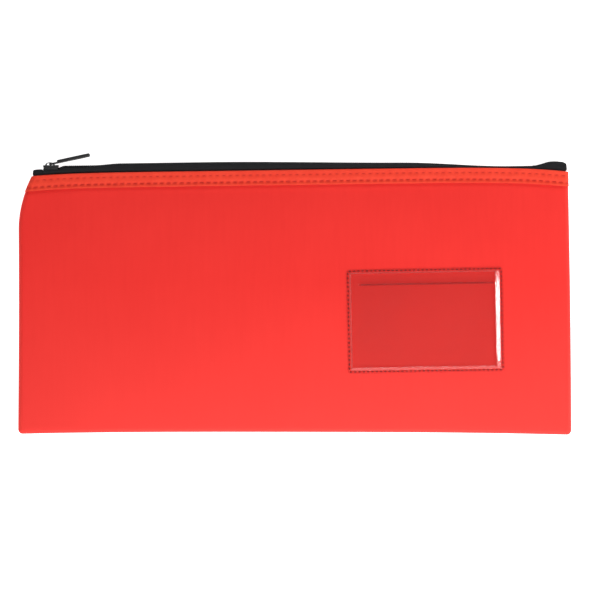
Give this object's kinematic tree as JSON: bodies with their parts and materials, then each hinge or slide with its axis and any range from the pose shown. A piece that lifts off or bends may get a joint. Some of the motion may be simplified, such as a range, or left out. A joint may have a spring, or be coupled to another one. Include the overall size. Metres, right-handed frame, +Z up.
{
  "type": "zip pouch",
  "caption": "Flat soft zip pouch for cash deposits: padded panels, folded binding, coil zip with slider along the top, clear sewn card window on the front.",
  "frame": {"origin": "middle of the back panel's flat outer face, on which the pouch lies", "axes": "+X along the zip from the closed slider towards the open end, +Y from the bottom seam to the zip, +Z up out of the front panel with the card window"},
  "size_m": [0.35, 0.1759, 0.0142],
  "materials": {
    "neoprene": "matte",
    "binding": "matte",
    "red_thread": "matte",
    "window_thread": "matte",
    "zip_tape": "matte",
    "zip_coil": "satin",
    "slider": "satin",
    "film": "gloss"
  },
  "bodies": {
    "root": {"back_panel": "neoprene", "back_binding": "binding", "back_zip_tape": "zip_tape", "back_zip_coil": "zip_coil", "back_binding_thread_upper": "red_thread", "back_binding_thread_lower": "red_thread", "left_seam_thread": "red_thread", "right_seam_thread": "red_thread", "bottom_seam_thread": "red_thread", "zip_end_stop": "zip_coil", "left_tape_end": "zip_tape", "right_tape_end": "zip_tape"},
    "front": {"front_panel": "neoprene", "front_binding": "binding", "front_zip_tape": "zip_tape", "front_zip_coil": "zip_coil", "front_binding_thread_upper": "red_thread", "front_binding_thread_lower": "red_thread", "card_window": "film", "card_window_thread": "window_thread"},
    "slider": {"slider_body": "slider"},
    "pull": {"pull_tab": "slider"}
  },
  "joints": [
    {"name": "mouth_open", "type": "hinge", "parent": "root", "child": "front", "pos_m": [0, -0.0826, 0.0051], "axis": [1, 0, 0], "range_deg": [0, 15], "deforming": ["front_zip_tape", "front_zip_coil"]},
    {"name": "slider_travel", "type": "slide", "parent": "root", "child": "slider", "axis": [0.9999, 0.014, 0], "range_m": [0, 0.2992], "deforming": ["back_zip_tape", "back_zip_coil"]},
    {"name": "pull_swing", "type": "hinge", "parent": "slider", "child": "pull", "pos_m": [-0.15487, 0.08623, 0.0051], "axis": [0, 0, 1], "range_deg": [-12, 150]}
  ],
  "couplings": [
    {"joint": "slider_travel", "follows": "mouth_open", "m_per_rad": 1.1428}
  ]
}
